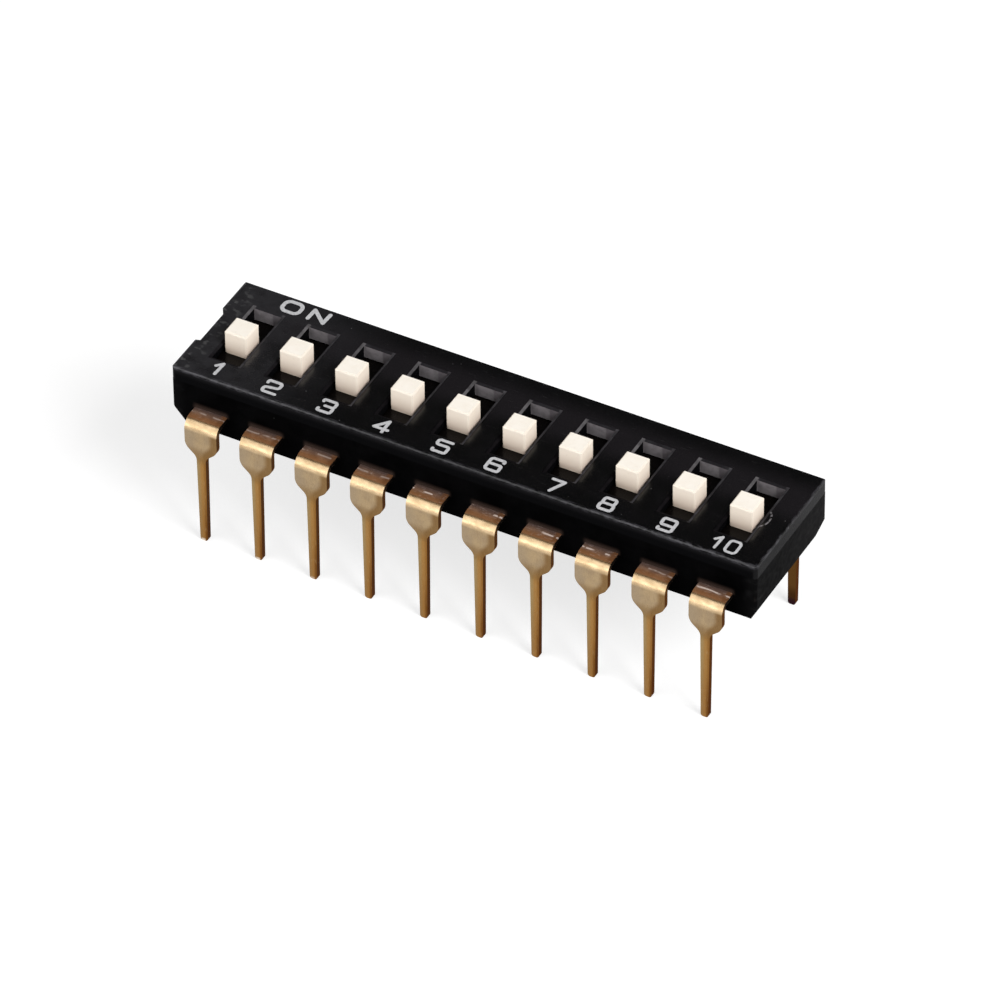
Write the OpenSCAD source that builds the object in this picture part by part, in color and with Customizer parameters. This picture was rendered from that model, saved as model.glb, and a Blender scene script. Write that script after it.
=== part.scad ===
// Ten-way slide DIP switch with straight through-hole legs, standing on the tips of its legs.
// All sizes are in millimetres. X runs along the row of switches, Y from OFF (front) to ON
// (back) and Z up. The origin is on the standing plane, at the middle of the leg pattern.
// Every knob is drawn at rest in its OFF place.

/* [Row] */
// Number of switches in the row
switch_count = 10; // [1:1:12]
// Distance from one switch to the next
pitch = 2.54; // [2.4:0.02:3]
// Distance from the middle of the last switch to the end of the housing
end_margin = 1.78; // [1.68:0.02:3]
// Distance that a knob slides from OFF to ON
travel = 0.8; // [0.6:0.05:0.9]

/* [Cover] */
// Width of the housing from front to back
body_w = 6.06; // [5.9:0.02:6.8]
// Thickness of the cover
cover_t = 0.64; // [0.5:0.02:1]
// Radius of the cover's upright corners
cover_corner_r = 0.14; // [0.1:0.02:0.4]
// Bevel along the cover's upper edges
cover_bevel = 0.04; // [0.02:0.01:0.2]
// Width of a slot
slot_w = 1.28; // [1.2:0.02:1.5]
// Length of a slot
slot_l = 3.49; // [3.1:0.05:3.6]
// Width of the shallow bevel round a slot's rim
rim_w = 0.12; // [0.04:0.02:0.2]
// Depth of that bevel
rim_depth = 0.05; // [0.02:0.01:0.1]
// Depth of the notch in the end beside switch 1
notch_depth = 0.23; // [0.1:0.01:0.4]
// Length of the notch along the end
notch_l = 2.3; // [1:0.1:3]
// Length of each sloped side of the notch
notch_slope = 0.08; // [0.02:0.02:0.4]
// Diameter of the four pegs that locate the cover on the base
peg_d = 0.3; // [0.2:0.02:0.36]
// Length of those pegs
peg_l = 0.5; // [0.2:0.05:0.8]
// Distance of those pegs from the middle plane of the row
peg_y = 2.1; // [1.8:0.1:2.4]

/* [Base] */
// Height of the base
base_h = 2.1; // [1.9:0.05:2.6]
// Thickness of the base's floor
floor_t = 1.0; // [0.6:0.05:1.2]
// Thickness of the ribs between two pockets
rib_t = 0.34; // [0.2:0.02:0.5]
// Radius of the base's upright corners
base_corner_r = 0.12; // [0.06:0.02:0.3]
// Length of the bevel under both ends, along the row
end_bevel_x = 0.22; // [0.05:0.01:0.4]
// Height of the bevel under both ends
end_bevel_z = 0.42; // [0.1:0.02:0.6]
// Reach along the row of the slanting cut at the two cut corners
corner_cut_x = 0.66; // [0.3:0.02:1]
// Reach across the row of that cut
corner_cut_y = 2.0; // [0.5:0.1:2.6]
// Height of that cut
corner_cut_z = 0.75; // [0.3:0.05:0.9]

/* [Knob] */
// Width and length of the square knob
knob_w = 1.03; // [0.8:0.01:1.16]
// Height of the knob above the cover
knob_rise = 0.76; // [0.3:0.02:1.2]
// Depth of the knob's lower edge below the top of the cover
knob_sink = 0.33; // [0.1:0.01:0.45]
// Rounding of the knob's upright edges
knob_corner_r = 0.07; // [0.02:0.01:0.2]
// Bevel round the knob's top
knob_bevel = 0.06; // [0.02:0.01:0.2]
// Width of the square stem under the knob
stem_w = 0.6; // [0.3:0.05:0.7]
// Length of that stem
stem_l = 0.3; // [0.1:0.05:0.5]

/* [Carriage] */
// Thickness of the sliding plate under the cover
plate_t = 0.45; // [0.35:0.05:0.6]
// Length of the raised collar in front of and behind the knob
collar_lap = 0.6; // [0.2:0.05:0.7]
// Diameter of the rivet that holds the moving contact
rivet_d = 0.4; // [0.2:0.02:0.5]
// Length of that rivet beyond the moving contact
rivet_head_l = 0.06; // [0.02:0.02:0.2]

/* [Moving contact] */
// Width of the moving contact strip
contact_w = 0.9; // [0.6:0.05:1.1]
// Thickness of that strip
contact_t = 0.1; // [0.06:0.01:0.14]
// Half length of its flat middle
contact_flat = 0.3; // [0.26:0.02:0.4]
// Distance from its middle to the middle of a foot
foot_y = 0.8; // [0.7:0.05:1]
// Length of a foot where it touches the terminal
foot_l = 0.2; // [0.1:0.02:0.3]
// Length of the turned-up end beyond the foot, measured flat
tail_l = 0.2; // [0.1:0.05:0.4]
// Angle of that turned-up end
tail_angle = 45; // [20:5:60]

/* [Terminals] */
// Distance between the two rows of legs
row_spacing = 7.62; // [7.5:0.02:8.2]
// Height of the underside above the tips of the legs
stand_off = 5.13; // [3.03:0.1:8.03]
// Thickness of the terminal strip
strip_t = 0.25; // [0.15:0.01:0.3]
// Width of the contact pad inside the base
pad_w = 1.1; // [0.95:0.05:1.6]
// Width of the shoulder and of the upper leg
shoulder_w = 1.48; // [1.2:0.04:2]
// Distance from the shoulder's top to where the wide part begins to narrow
shoulder_drop = 1.03; // [0.6:0.01:1.4]
// Rounding of the wide part's two lower corners
wide_r = 0.55; // [0.1:0.05:0.6]
// Angle between the slanting end of the wide part and the leg
taper_angle = 49; // [30:1:50]
// Outer radius of the bend
bend_r = 0.5; // [0.3:0.02:0.52]
// Width of the narrow leg at its upper end
leg_w = 0.42; // [0.36:0.02:0.6]
// Fillet where the slanting end runs into the narrow leg
leg_fillet_r = 0.42; // [0.06:0.02:0.44]
// Width of the leg at its tip
tip_w = 0.34; // [0.26:0.02:0.4]
// Rounding of the tip's two corners
tip_r = 0.12; // [0.02:0.01:0.13]

/* [Clearances] */
// Gap between a carriage and the sides of its pocket
side_play = 0.06; // [0.02:0.01:0.1]
// Gap between a carriage and the end of its pocket when the knob is fully over
end_play = 0.05; // [0.02:0.01:0.1]
// Gap between a carriage and the underside of the cover
top_play = 0.04; // [0.02:0.01:0.1]
// Gap between the raised collar and the sides of the slot
collar_play = 0.045; // [0.02:0.005:0.1]
// Length of plate that stays under the cover beyond the slot when the knob is fully over
plate_lap = 0.005; // [0.005:0.005:0.05]
// Gap round the cover's pegs in the base
peg_play = 0.02; // [0.01:0.01:0.05]
// Length of pad that stays under the front foot beyond its ON place
pad_margin = 0.1; // [0.05:0.05:0.2]
// Gap between the rear foot and the rear pad in the OFF place
open_gap = 0.3; // [0.1:0.05:0.5]

/* [Hidden] */
$fn = 48;
// Straight pieces in each round corner of the leg's outline
arc_steps = 8;
// Overlap that lets a cut run past the face it opens
over = 0.5;

body_l = (switch_count - 1) * pitch + 2 * end_margin;
pocket_w = pitch - rib_t;
end_wall = end_margin - pocket_w / 2;

// Heights above the tips of the legs
z_under = stand_off;
z_floor = z_under + floor_t;
z_rim = z_under + base_h;
z_top = z_rim + cover_t;
z_plate_top = z_rim - top_play;
z_plate_under = z_plate_top - plate_t;
z_collar = z_top - knob_sink;
z_knob = z_top + knob_rise;

plate_w = pocket_w - 2 * side_play;
plate_l = slot_l + travel + 2 * plate_lap;
pocket_l = plate_l + travel + 2 * end_play;
collar_w = slot_w - 2 * collar_play;
collar_l = knob_w + 2 * collar_lap;

// Where the pads end inside the pocket, measured from the middle plane of the row
front_pad_end = foot_y - travel / 2 - foot_l / 2 - pad_margin;
back_pad_end = foot_y - travel / 2 + foot_l / 2 + open_gap;

// Outer face of the legs, and the height where the wide part begins to narrow
leg_face_y = row_spacing / 2 + strip_t / 2;
z_wide = z_floor - shoulder_drop;

function switch_x(i) = (i - (switch_count + 1) / 2) * pitch;
function two_digits(i) = i < 10 ? str("0", i) : str(i);
function numbered(name, i) = str(name, "_", two_digits(i));
function numbers() = [for (i = [1 : switch_count]) i];

// ---------- helpers ----------

// A rectangle centred on the origin with round corners
module rounded_rect(size, r) {
    for (turn = [0, 1])
        square([size.x - 2 * r * turn, size.y - 2 * r * (1 - turn)], center = true);
    for (x = [-1, 1], y = [-1, 1])
        translate([x * (size.x / 2 - r), y * (size.y / 2 - r)]) circle(r);
}

// A block seen from its end: width w from z0 to z1, with both upper corners bevelled
module bevelled_end(w, z0, z1, bevel) {
    polygon([
        [-w / 2, z0], [w / 2, z0], [w / 2, z1 - bevel], [w / 2 - bevel, z1],
        [-w / 2 + bevel, z1], [-w / 2, z1 - bevel]
    ]);
}

// Extrudes an outline drawn as (x, z) along Y, centred
module along_y(length) {
    rotate([90, 0, 0]) linear_extrude(length, center = true) children();
}

// Extrudes an outline drawn as (y, z) along X, centred
module along_x(length) {
    rotate([90, 0, 90]) linear_extrude(length, center = true) children();
}

// A block with round upright corners and a bevel round its top
module bevelled_block(size, z0, z1, r, bevel) {
    intersection() {
        translate([0, 0, z0]) linear_extrude(z1 - z0) rounded_rect(size, r);
        along_y(size.y + over) bevelled_end(size.x, z0, z1, bevel);
        along_x(size.x + over) bevelled_end(size.y, z0, z1, bevel);
    }
}

// Puts a copy at each of the cover's four pegs
module at_pegs() {
    for (x = [-1, 1], y = [-1, 1])
        translate([x * (body_l - end_wall) / 2, y * peg_y, z_rim]) children();
}

// ---------- housing ----------

// The slanting cut at the lower front corner beside switch 1
module corner_cut() {
    slope = [1 / corner_cut_x, 1 / corner_cut_y, 1 / corner_cut_z];
    depth = 1 / norm(slope);
    reach = corner_cut_x + corner_cut_y + corner_cut_z;
    normal = -slope * depth;
    translate([-body_l / 2, -body_w / 2, z_under])
        rotate([0, acos(normal.z), atan2(normal.y, normal.x)])
            translate([-reach, -reach, -depth]) cube([2 * reach, 2 * reach, reach]);
}

// The bevel under the end beside switch 1
module end_bevel() {
    translate([-body_l / 2, 0, z_under])
        along_y(body_w + 2 * over) polygon([
            [-end_bevel_x, -end_bevel_z], [2 * end_bevel_x, -end_bevel_z],
            [-end_bevel_x, 2 * end_bevel_z]
        ]);
}

module pocket() {
    translate([-pocket_w / 2, -pocket_l / 2, z_floor]) cube([pocket_w, pocket_l, base_h]);
}

// The bed that holds a pad, from the front of the housing to the pad's end
module pad_bed(pad_end) {
    reach = body_w / 2 + over;
    translate([-pad_w / 2, -reach, z_floor - strip_t]) cube([pad_w, reach - pad_end, strip_t]);
}

module base() {
    color("#121212") difference() {
        translate([0, 0, z_under]) linear_extrude(base_h)
            rounded_rect([body_l, body_w], base_corner_r);
        for (i = numbers()) translate([switch_x(i), 0, 0]) {
            pocket();
            pad_bed(front_pad_end);
            rotate([0, 0, 180]) pad_bed(back_pad_end);
        }
        at_pegs() translate([0, 0, -peg_l - peg_play])
            cylinder(r = peg_d / 2 + peg_play, h = peg_l + peg_play + over);
        for (turn = [0, 180]) rotate([0, 0, turn]) {
            end_bevel();
            corner_cut();
        }
    }
}

// One slot through the cover, with its bevelled rim
module slot() {
    translate([-slot_w / 2, -slot_l / 2, z_rim - over]) cube([slot_w, slot_l, cover_t + 2 * over]);
    intersection() {
        along_y(slot_l + 2 * rim_w) slot_rim(slot_w);
        along_x(slot_w + 2 * rim_w) slot_rim(slot_l);
    }
}

// The rim's cut seen from its end, for a slot of width w
module slot_rim(w) {
    polygon([
        [-w / 2, z_top - rim_depth], [w / 2, z_top - rim_depth],
        [w / 2 + rim_w, z_top], [w / 2 + rim_w, z_top + over],
        [-w / 2 - rim_w, z_top + over], [-w / 2 - rim_w, z_top]
    ]);
}

// The notch that marks the end beside switch 1
module notch() {
    deep = notch_l / 2 - notch_slope;
    translate([-body_l / 2, 0, z_rim - over]) linear_extrude(cover_t + 2 * over)
        polygon([
            [-over, -notch_l / 2], [0, -notch_l / 2], [notch_depth, -deep],
            [notch_depth, deep], [0, notch_l / 2], [-over, notch_l / 2]
        ]);
}

module cover() {
    color("#1c1c1c") {
        difference() {
            bevelled_block([body_l, body_w], z_rim, z_top, cover_corner_r, cover_bevel);
            for (i = numbers()) translate([switch_x(i), 0, 0]) slot();
            notch();
        }
        at_pegs() translate([0, 0, -peg_l]) cylinder(r = peg_d / 2, h = peg_l + cover_t / 2);
    }
}

// ---------- sliding pieces ----------

// Moves a sliding piece from the middle of its slot to its OFF place
module at_switch(i) {
    translate([switch_x(i), -travel / 2, 0]) children();
}

// The knob's stem, from its foot in the carriage up to the height z1
module stem(z1) {
    z0 = z_collar - stem_l;
    translate([-stem_w / 2, -stem_w / 2, z0]) cube([stem_w, stem_w, z1 - z0]);
}

module knob() {
    color("#f2e6d8") {
        bevelled_block([knob_w, knob_w], z_collar, z_knob, knob_corner_r, knob_bevel);
        stem(z_top);
    }
}

module carriage() {
    color("#0c0c0c") {
        difference() {
            union() {
                translate([-plate_w / 2, -plate_l / 2, z_plate_under])
                    cube([plate_w, plate_l, plate_t]);
                translate([-collar_w / 2, -collar_l / 2, z_plate_under])
                    cube([collar_w, collar_l, z_collar - z_plate_under]);
            }
            stem(z_top);
        }
        rivet_l = contact_t + rivet_head_l;
        translate([0, 0, z_plate_under - rivet_l]) cylinder(d = rivet_d, h = rivet_l);
    }
}

// One half of the moving contact, as (y, z) points: along its underside and back along its top
function contact_half() = let (
        foot_in = foot_y - foot_l / 2,
        foot_out = foot_y + foot_l / 2,
        z_mid = z_plate_under - contact_t,
        arm_angle = atan2(z_mid - z_floor, foot_in - contact_flat),
        arm_shift = contact_t * tan(arm_angle / 2),
        tail_shift = contact_t * tan(tail_angle / 2),
        tail_y = foot_out + tail_l,
        tail_z = z_floor + tail_l * tan(tail_angle)
    ) [
        [contact_flat, z_mid], [foot_in, z_floor], [foot_out, z_floor], [tail_y, tail_z],
        [tail_y - contact_t * sin(tail_angle), tail_z + contact_t * cos(tail_angle)],
        [foot_out - tail_shift, z_floor + contact_t],
        [foot_in + arm_shift, z_floor + contact_t],
        [contact_flat + arm_shift, z_plate_under]
    ];

function mirrored(points) =
    [for (k = [len(points) - 1 : -1 : 0]) [-points[k].x, points[k].y]];

module contact() {
    color("#c9a35a") difference() {
        along_x(contact_w) polygon(concat(contact_half(), mirrored(contact_half())));
        translate([0, 0, z_plate_under - contact_t - over])
            cylinder(d = rivet_d, h = contact_t + 2 * over);
    }
}

// ---------- terminals ----------

// Points along an arc round the point c, from angle a0 to angle a1
function arc(c, r, a0, a1) = [
    for (k = [0 : arc_steps])
        let (a = a0 + (a1 - a0) * k / arc_steps) c + r * [cos(a), sin(a)]
];

// The right half of the leg's outline as (x, z), from its tip up to the bend
function leg_half() = let (
        round_r = wide_r + leg_fillet_r,
        straight = (shoulder_w - leg_w) / 2 - round_r * (1 - cos(taper_angle)),
        drop = round_r * sin(taper_angle) + straight / tan(taper_angle)
    ) concat(
        arc([tip_w / 2 - tip_r, tip_r], tip_r, -90, 0),
        arc([leg_w / 2 + leg_fillet_r, z_wide - drop], leg_fillet_r, 180, 180 - taper_angle),
        arc([shoulder_w / 2 - wide_r, z_wide], wide_r, -taper_angle, 0),
        [[shoulder_w / 2, z_floor - bend_r]]
    );

// A terminal of the front row; its pad ends pad_end in front of the middle plane
module terminal(pad_end) {
    color("#d7ab62") {
        shoulder_end = leg_face_y - bend_r;
        translate([-pad_w / 2, -shoulder_end, z_floor - strip_t])
            cube([pad_w, shoulder_end - pad_end, strip_t]);
        translate([-shoulder_w / 2, -shoulder_end, z_floor - strip_t])
            cube([shoulder_w, shoulder_end - body_w / 2, strip_t]);
        bend(shoulder_end);
        translate([0, -leg_face_y + strip_t, 0]) rotate([90, 0, 0]) linear_extrude(strip_t)
            polygon(concat(leg_half(), mirrored(leg_half())));
    }
}

// The quarter bend between the shoulder and the leg
module bend(shoulder_end) {
    translate([-shoulder_w / 2, -shoulder_end, z_floor - bend_r])
        rotate([90, 0, -90]) rotate_extrude(angle = 90)
            translate([bend_r - strip_t, -shoulder_w]) square([strip_t, shoulder_w]);
}

module terminal_front() {
    terminal(front_pad_end);
}

module terminal_back() {
    rotate([0, 0, 180]) terminal(back_pad_end);
}

// ---------- the part ----------

base();
cover();
for (i = numbers()) {
    at_switch(i) knob();
    at_switch(i) carriage();
    at_switch(i) contact();
    translate([switch_x(i), 0, 0]) terminal_front();
    translate([switch_x(i), 0, 0]) terminal_back();
}
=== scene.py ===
"""Looks of the ten-way DIP switch: finishes with painted light and shade, print, worn edges with
painted highlights, light and camera.

Places are in the part's own frame: X along the row, Y from OFF to ON, Z up from the leg tips.
Blender works in metres; the sizes below are in millimetres, as in the part's source.
Colours are linear red, green and blue.
"""
import math

import bmesh
import bpy
from mathutils import Matrix, Vector


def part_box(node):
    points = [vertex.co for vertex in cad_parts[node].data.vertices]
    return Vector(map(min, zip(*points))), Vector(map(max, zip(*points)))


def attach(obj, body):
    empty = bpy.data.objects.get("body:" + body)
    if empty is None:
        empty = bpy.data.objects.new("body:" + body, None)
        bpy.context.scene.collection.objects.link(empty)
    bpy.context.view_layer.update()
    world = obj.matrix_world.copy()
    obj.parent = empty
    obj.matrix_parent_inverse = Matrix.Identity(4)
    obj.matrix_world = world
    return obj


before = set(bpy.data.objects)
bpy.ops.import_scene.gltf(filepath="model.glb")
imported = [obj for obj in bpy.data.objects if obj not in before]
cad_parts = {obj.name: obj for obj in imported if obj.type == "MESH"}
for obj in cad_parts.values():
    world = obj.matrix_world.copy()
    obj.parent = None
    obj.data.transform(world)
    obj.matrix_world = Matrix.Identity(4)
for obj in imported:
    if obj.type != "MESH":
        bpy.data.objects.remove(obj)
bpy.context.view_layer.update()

MM = 0.001


def low_corner(node):
    """A node's lowest corner at rest, in millimetres."""
    return Vector(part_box(node)[0]) / MM


def high_corner(node):
    """A node's highest corner at rest, in millimetres."""
    return Vector(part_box(node)[1]) / MM


# ---------- sizes, read from the frame ----------

knobs = sorted(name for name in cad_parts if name.startswith("knob_"))
COUNT = len(knobs)
PITCH = (low_corner(knobs[-1]).x - low_corner(knobs[0]).x) / (COUNT - 1)
HALF_LENGTH = high_corner("cover").x
HALF_WIDTH = high_corner("cover").y
TOP_Z = high_corner("cover").z
UNDER_Z = low_corner("base").z
KNOB_TOP_Z = high_corner(knobs[0]).z

# Sizes that the boxes don't give, as in the part's source
EDGE_BEVEL = 0.04
SLOT_HALF_W = 0.64
SLOT_HALF_L = 1.745
RIM_W = 0.12
RIM_DEPTH = 0.05
KNOB_SINK = 0.33
FLOOR_T = 1.0
SHOULDER_HALF_W = 0.74
BEND_R = 0.5
# From the shoulder's top down to the middle of the step between wide part and leg
WIDE_PART_DROP = 1.7

KNOB_UNDER_Z = TOP_Z - KNOB_SINK
SHOULDER_Z = UNDER_Z + FLOOR_T
BEND_END_Z = SHOULDER_Z - BEND_R
WIDE_END_Z = SHOULDER_Z - WIDE_PART_DROP


def switch_x(number):
    """Middle of a switch along the row; numbers start at 1."""
    return (number - (COUNT + 1) / 2) * PITCH


# ---------- a small kit for node materials ----------

# Where most noise turns from one tone to the other
NOISE_LOW = 0.3
NOISE_HIGH = 0.7


class Paint:
    """One procedural material. Sockets and plain numbers can be mixed freely as inputs."""

    def __init__(self, name):
        self.material = bpy.data.materials.new(name)
        self.material.use_nodes = True
        self.nodes = self.material.node_tree.nodes
        self.links = self.material.node_tree.links
        self.shader = self.nodes["Principled BSDF"]
        coordinates = self.nodes.new("ShaderNodeTexCoord")
        scale = self.nodes.new("ShaderNodeVectorMath")
        scale.operation = "SCALE"
        scale.inputs["Scale"].default_value = 1 / MM
        self.links.new(coordinates.outputs["Object"], scale.inputs[0])
        self.place = scale.outputs[0]
        self.x, self.y, self.z = self.split(self.place)
        self.facing_x, self.facing_y, self.facing_z = self.split(coordinates.outputs["Normal"])

    def split(self, vector):
        """The three parts of a vector."""
        node = self.nodes.new("ShaderNodeSeparateXYZ")
        self.links.new(vector, node.inputs[0])
        return node.outputs

    def put(self, value, socket):
        """Gives a socket a number, a colour or another node's output."""
        if isinstance(value, bpy.types.NodeSocket):
            self.links.new(value, socket)
        elif isinstance(value, tuple) and len(value) == 3 and socket.type == "RGBA":
            socket.default_value = (*value, 1)
        else:
            socket.default_value = value

    def math(self, operation, a, b=0.0):
        """One step of arithmetic."""
        node = self.nodes.new("ShaderNodeMath")
        node.operation = operation
        self.put(a, node.inputs[0])
        self.put(b, node.inputs[1])
        return node.outputs[0]

    def add(self, a, b):
        return self.math("ADD", a, b)

    def less(self, a, b):
        """a minus b."""
        return self.math("SUBTRACT", a, b)

    def times(self, *values):
        result = values[0]
        for value in values[1:]:
            result = self.math("MULTIPLY", result, value)
        return result

    def size(self, a):
        """A value without its sign."""
        return self.math("ABSOLUTE", a)

    def outside(self, mask):
        """1 where a mask is 0, and 0 where it is 1."""
        return self.less(1, mask)

    def either(self, *values):
        """The larger of some masks."""
        result = values[0]
        for value in values[1:]:
            result = self.math("MAXIMUM", result, value)
        return result

    def ramp(self, value, start, end, low=0.0, high=1.0):
        """Runs smoothly from low at start to high at end; start may be the larger one."""
        node = self.nodes.new("ShaderNodeMapRange")
        node.interpolation_type = "SMOOTHSTEP"
        if start > end:
            start, end, low, high = end, start, high, low
        for socket, number in zip(node.inputs[1:5], (start, end, low, high)):
            socket.default_value = number
        self.put(value, node.inputs[0])
        return node.outputs[0]

    def within(self, value, middle, half, soft):
        """1 where value is within half of middle, falling to 0 over soft beyond that."""
        return self.ramp(self.size(self.less(value, middle)), half + soft, half)

    def across_switch(self):
        """Distance along the row from the middle of the nearest switch."""
        turns = self.add(self.times(self.x, 1 / PITCH), (COUNT + 1) / 2 + 0.5)
        return self.times(self.less(self.math("FRACT", turns), 0.5), PITCH)

    def stretched(self, scales, shift=0.0):
        """The place with each axis scaled, for streaks, and shifted, for another pattern."""
        node = self.nodes.new("ShaderNodeMapping")
        node.inputs["Scale"].default_value = scales
        node.inputs["Location"].default_value = (shift, shift * 1.7, shift * 0.6)
        self.links.new(self.place, node.inputs["Vector"])
        return node.outputs[0]

    def noise(self, scale, detail=3.0, scales=(1, 1, 1), shift=0.0):
        """Cloudy noise; a larger scale makes it finer."""
        node = self.nodes.new("ShaderNodeTexNoise")
        node.inputs["Scale"].default_value = scale
        node.inputs["Detail"].default_value = detail
        self.put(self.stretched(scales, shift), node.inputs["Vector"])
        return node.outputs[0]

    def tone(self, noise, low=0.0, high=1.0):
        """Noise spread between two values."""
        return self.ramp(noise, NOISE_LOW, NOISE_HIGH, low, high)

    def specks(self, scale, radius, share, shift=0.0):
        """Small round specks: one cell in so many holds one."""
        node = self.nodes.new("ShaderNodeTexVoronoi")
        node.inputs["Scale"].default_value = scale
        self.put(self.stretched((1, 1, 1), shift), node.inputs["Vector"])
        colour = self.nodes.new("ShaderNodeSeparateColor")
        self.links.new(node.outputs["Color"], colour.inputs[0])
        chosen = self.ramp(colour.outputs[0], 1 - share, 1 - share * 0.8)
        return self.times(self.ramp(node.outputs["Distance"], radius, radius * 0.4), chosen)

    def mix(self, share, first, second):
        """A colour between two colours."""
        node = self.nodes.new("ShaderNodeMix")
        node.data_type = "RGBA"
        self.put(share, node.inputs["Factor"])
        self.put(first, node.inputs[6])
        self.put(second, node.inputs[7])
        return node.outputs[2]

    def bump(self, height, strength, depth_mm):
        """Makes the surface look uneven."""
        node = self.nodes.new("ShaderNodeBump")
        node.inputs["Strength"].default_value = strength
        node.inputs["Distance"].default_value = depth_mm * MM
        self.put(height, node.inputs["Height"])
        self.links.new(node.outputs[0], self.shader.inputs["Normal"])

    def finish(self, colour, roughness, metallic=0.0, specular=0.5):
        """Sets the main sockets; metallic and roughness may be numbers or masks."""
        self.put(colour, self.shader.inputs["Base Color"])
        self.put(roughness, self.shader.inputs["Roughness"])
        self.put(metallic, self.shader.inputs["Metallic"])
        self.shader.inputs["Specular IOR Level"].default_value = specular
        return self.material


# ---------- cover ----------

COVER_BLACK = (0.0005, 0.0005, 0.0007)
COVER_MOTTLE = (0.0020, 0.0018, 0.0022)
COVER_GRAIN = (0.006, 0.0056, 0.0066)
COVER_BACK = (0.014, 0.0118, 0.014)
COVER_HAZE = (0.022, 0.0212, 0.0235)
BAND_UPPER = (0.009, 0.0085, 0.0095)
BAND_LOWER = (0.0016, 0.0016, 0.002)
END_NEAR = (0.010, 0.0098, 0.0105)
END_FAR = (0.024, 0.0235, 0.0245)
EDGE_WEAR_AND_HIGHLIGHT = (0.064, 0.062, 0.070)
SLOT_WALL = (0.0025, 0.0025, 0.003)
REAR_WALL_SHADED = (0.135, 0.122, 0.132)
REAR_WALL_LIT = (0.215, 0.198, 0.208)
REAR_WALL_STAIN = (0.08, 0.075, 0.08)
RIM_BACK = (0.022, 0.021, 0.023)
RIM_LEFT = (0.120, 0.114, 0.118)
RIM_RIGHT = (0.060, 0.057, 0.062)
RIM_FRONT = (0.008, 0.007, 0.008)
SCUFF = (0.085, 0.085, 0.085)
COVER_DUST = (0.16, 0.16, 0.16)
CHIP = (0.20, 0.19, 0.20)

# Softness of the line between two faces
LINE_SOFT = 0.02
# Place and reach of the chipped rim beside the last slot
CHIP_Y = -0.28
CHIP_REACH_X = 0.30
CHIP_REACH_Y = 0.50
# Strips at the ends of the cover that no slot reaches
END_STRIP = 0.3


def slot_area(p, across):
    """1 over the slots and their rims."""
    reach_x = SLOT_HALF_W + RIM_W
    reach_y = SLOT_HALF_L + RIM_W
    in_x = p.ramp(p.size(across), reach_x + LINE_SOFT, reach_x)
    in_y = p.ramp(p.size(p.y), reach_y + LINE_SOFT, reach_y)
    between_ends = p.ramp(p.size(p.x), HALF_LENGTH - END_STRIP, HALF_LENGTH - END_STRIP - 0.1)
    return p.times(in_x, in_y, between_ends)


def cover_top(p):
    """The moulded top: uneven black, greyer behind the slots and hazy towards switch 1."""
    colour = p.mix(p.tone(p.noise(0.9, 4)), COVER_BLACK, COVER_MOTTLE)
    grain = p.ramp(p.noise(9, 3, shift=5), 0.5, 0.75)
    colour = p.mix(p.times(grain, 0.4), colour, COVER_GRAIN)
    behind = p.within(p.y, 1.2, 0.4, 1.2)
    colour = p.mix(p.times(behind, 0.6), colour, COVER_BACK)
    patches = p.ramp(p.noise(1.5, 4, shift=13), 0.25, 0.6, 0.5, 1)
    haze = p.times(p.ramp(p.x, -5, -HALF_LENGTH), patches)
    return p.mix(haze, colour, COVER_HAZE)


def cover_sides(p, depth):
    """The band round the cover's sides, with painted light and shade: paler just under the top edge,
    and paler on both end faces, most towards the back.
    """
    at_end = p.ramp(p.size(p.x), HALF_LENGTH - 0.2, HALF_LENGTH - 0.1)
    # Painted light: the long sides paler just under the top edge
    long_band = p.mix(p.ramp(depth, 0.08, 0.4), BAND_UPPER, BAND_LOWER)
    # Painted light: the end faces paler than the long sides, rising towards the back
    end_band = p.mix(p.ramp(p.y, -2, 3), END_NEAR, END_FAR)
    return p.mix(at_end, long_band, end_band)


def cover_edge_wear(p, depth):
    """Where the upper edge is pale, along the front and at both ends: rubbed wear, with a painted
    highlight along the bevel.
    """
    to_end = p.less(HALF_LENGTH, p.size(p.x))
    to_side = p.less(HALF_WIDTH, p.size(p.y))
    from_edge = p.add(p.math("MINIMUM", to_end, to_side), depth)
    edge = p.ramp(from_edge, EDGE_BEVEL + 0.15, EDGE_BEVEL + 0.02)
    rubbed_front = p.ramp(p.noise(3.2, 4, (1, 3, 3), 2), 0.36, 0.62)
    rubbed_ends = p.ramp(p.noise(2.2, 4, (3, 1, 3), 2), 0.40, 0.66)
    front = p.times(p.ramp(p.y, -HALF_WIDTH + 0.3, -HALF_WIDTH + 0.1), rubbed_front)
    front = p.times(front, p.ramp(p.size(p.add(p.x, 1)), 4, 9, 0.5, 1.0))
    at_end = p.ramp(p.size(p.x), HALF_LENGTH - 0.14, HALF_LENGTH - 0.06)
    return p.times(edge, p.either(front, p.times(at_end, rubbed_ends, 0.75)))


def rear_wall_colour(p, across):
    """The pale rear wall of a slot, with the knob's shadow painted on its right, and a little
    stained.
    """
    # Painted shadow of the knob over the right of the wall
    colour = p.mix(p.ramp(across, 0.26, 0.16), REAR_WALL_SHADED, REAR_WALL_LIT)
    stain = p.ramp(p.noise(4, 3, shift=9), 0.4, 0.7, 0, 0.35)
    return p.mix(stain, colour, REAR_WALL_STAIN)


def rim_colour(p, across):
    """A slot's bevelled rim with painted highlights: palest on the left, then right and back, and
    painted darker in front.
    """
    left = p.ramp(across, -SLOT_HALF_W + 0.06, -SLOT_HALF_W)
    right = p.ramp(across, SLOT_HALF_W - 0.06, SLOT_HALF_W)
    back = p.ramp(p.y, -0.5, 0.7)
    colour = p.mix(left, RIM_BACK, RIM_LEFT)
    colour = p.mix(p.outside(p.either(back, right)), colour, RIM_FRONT)
    return p.mix(right, colour, RIM_RIGHT)


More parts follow.
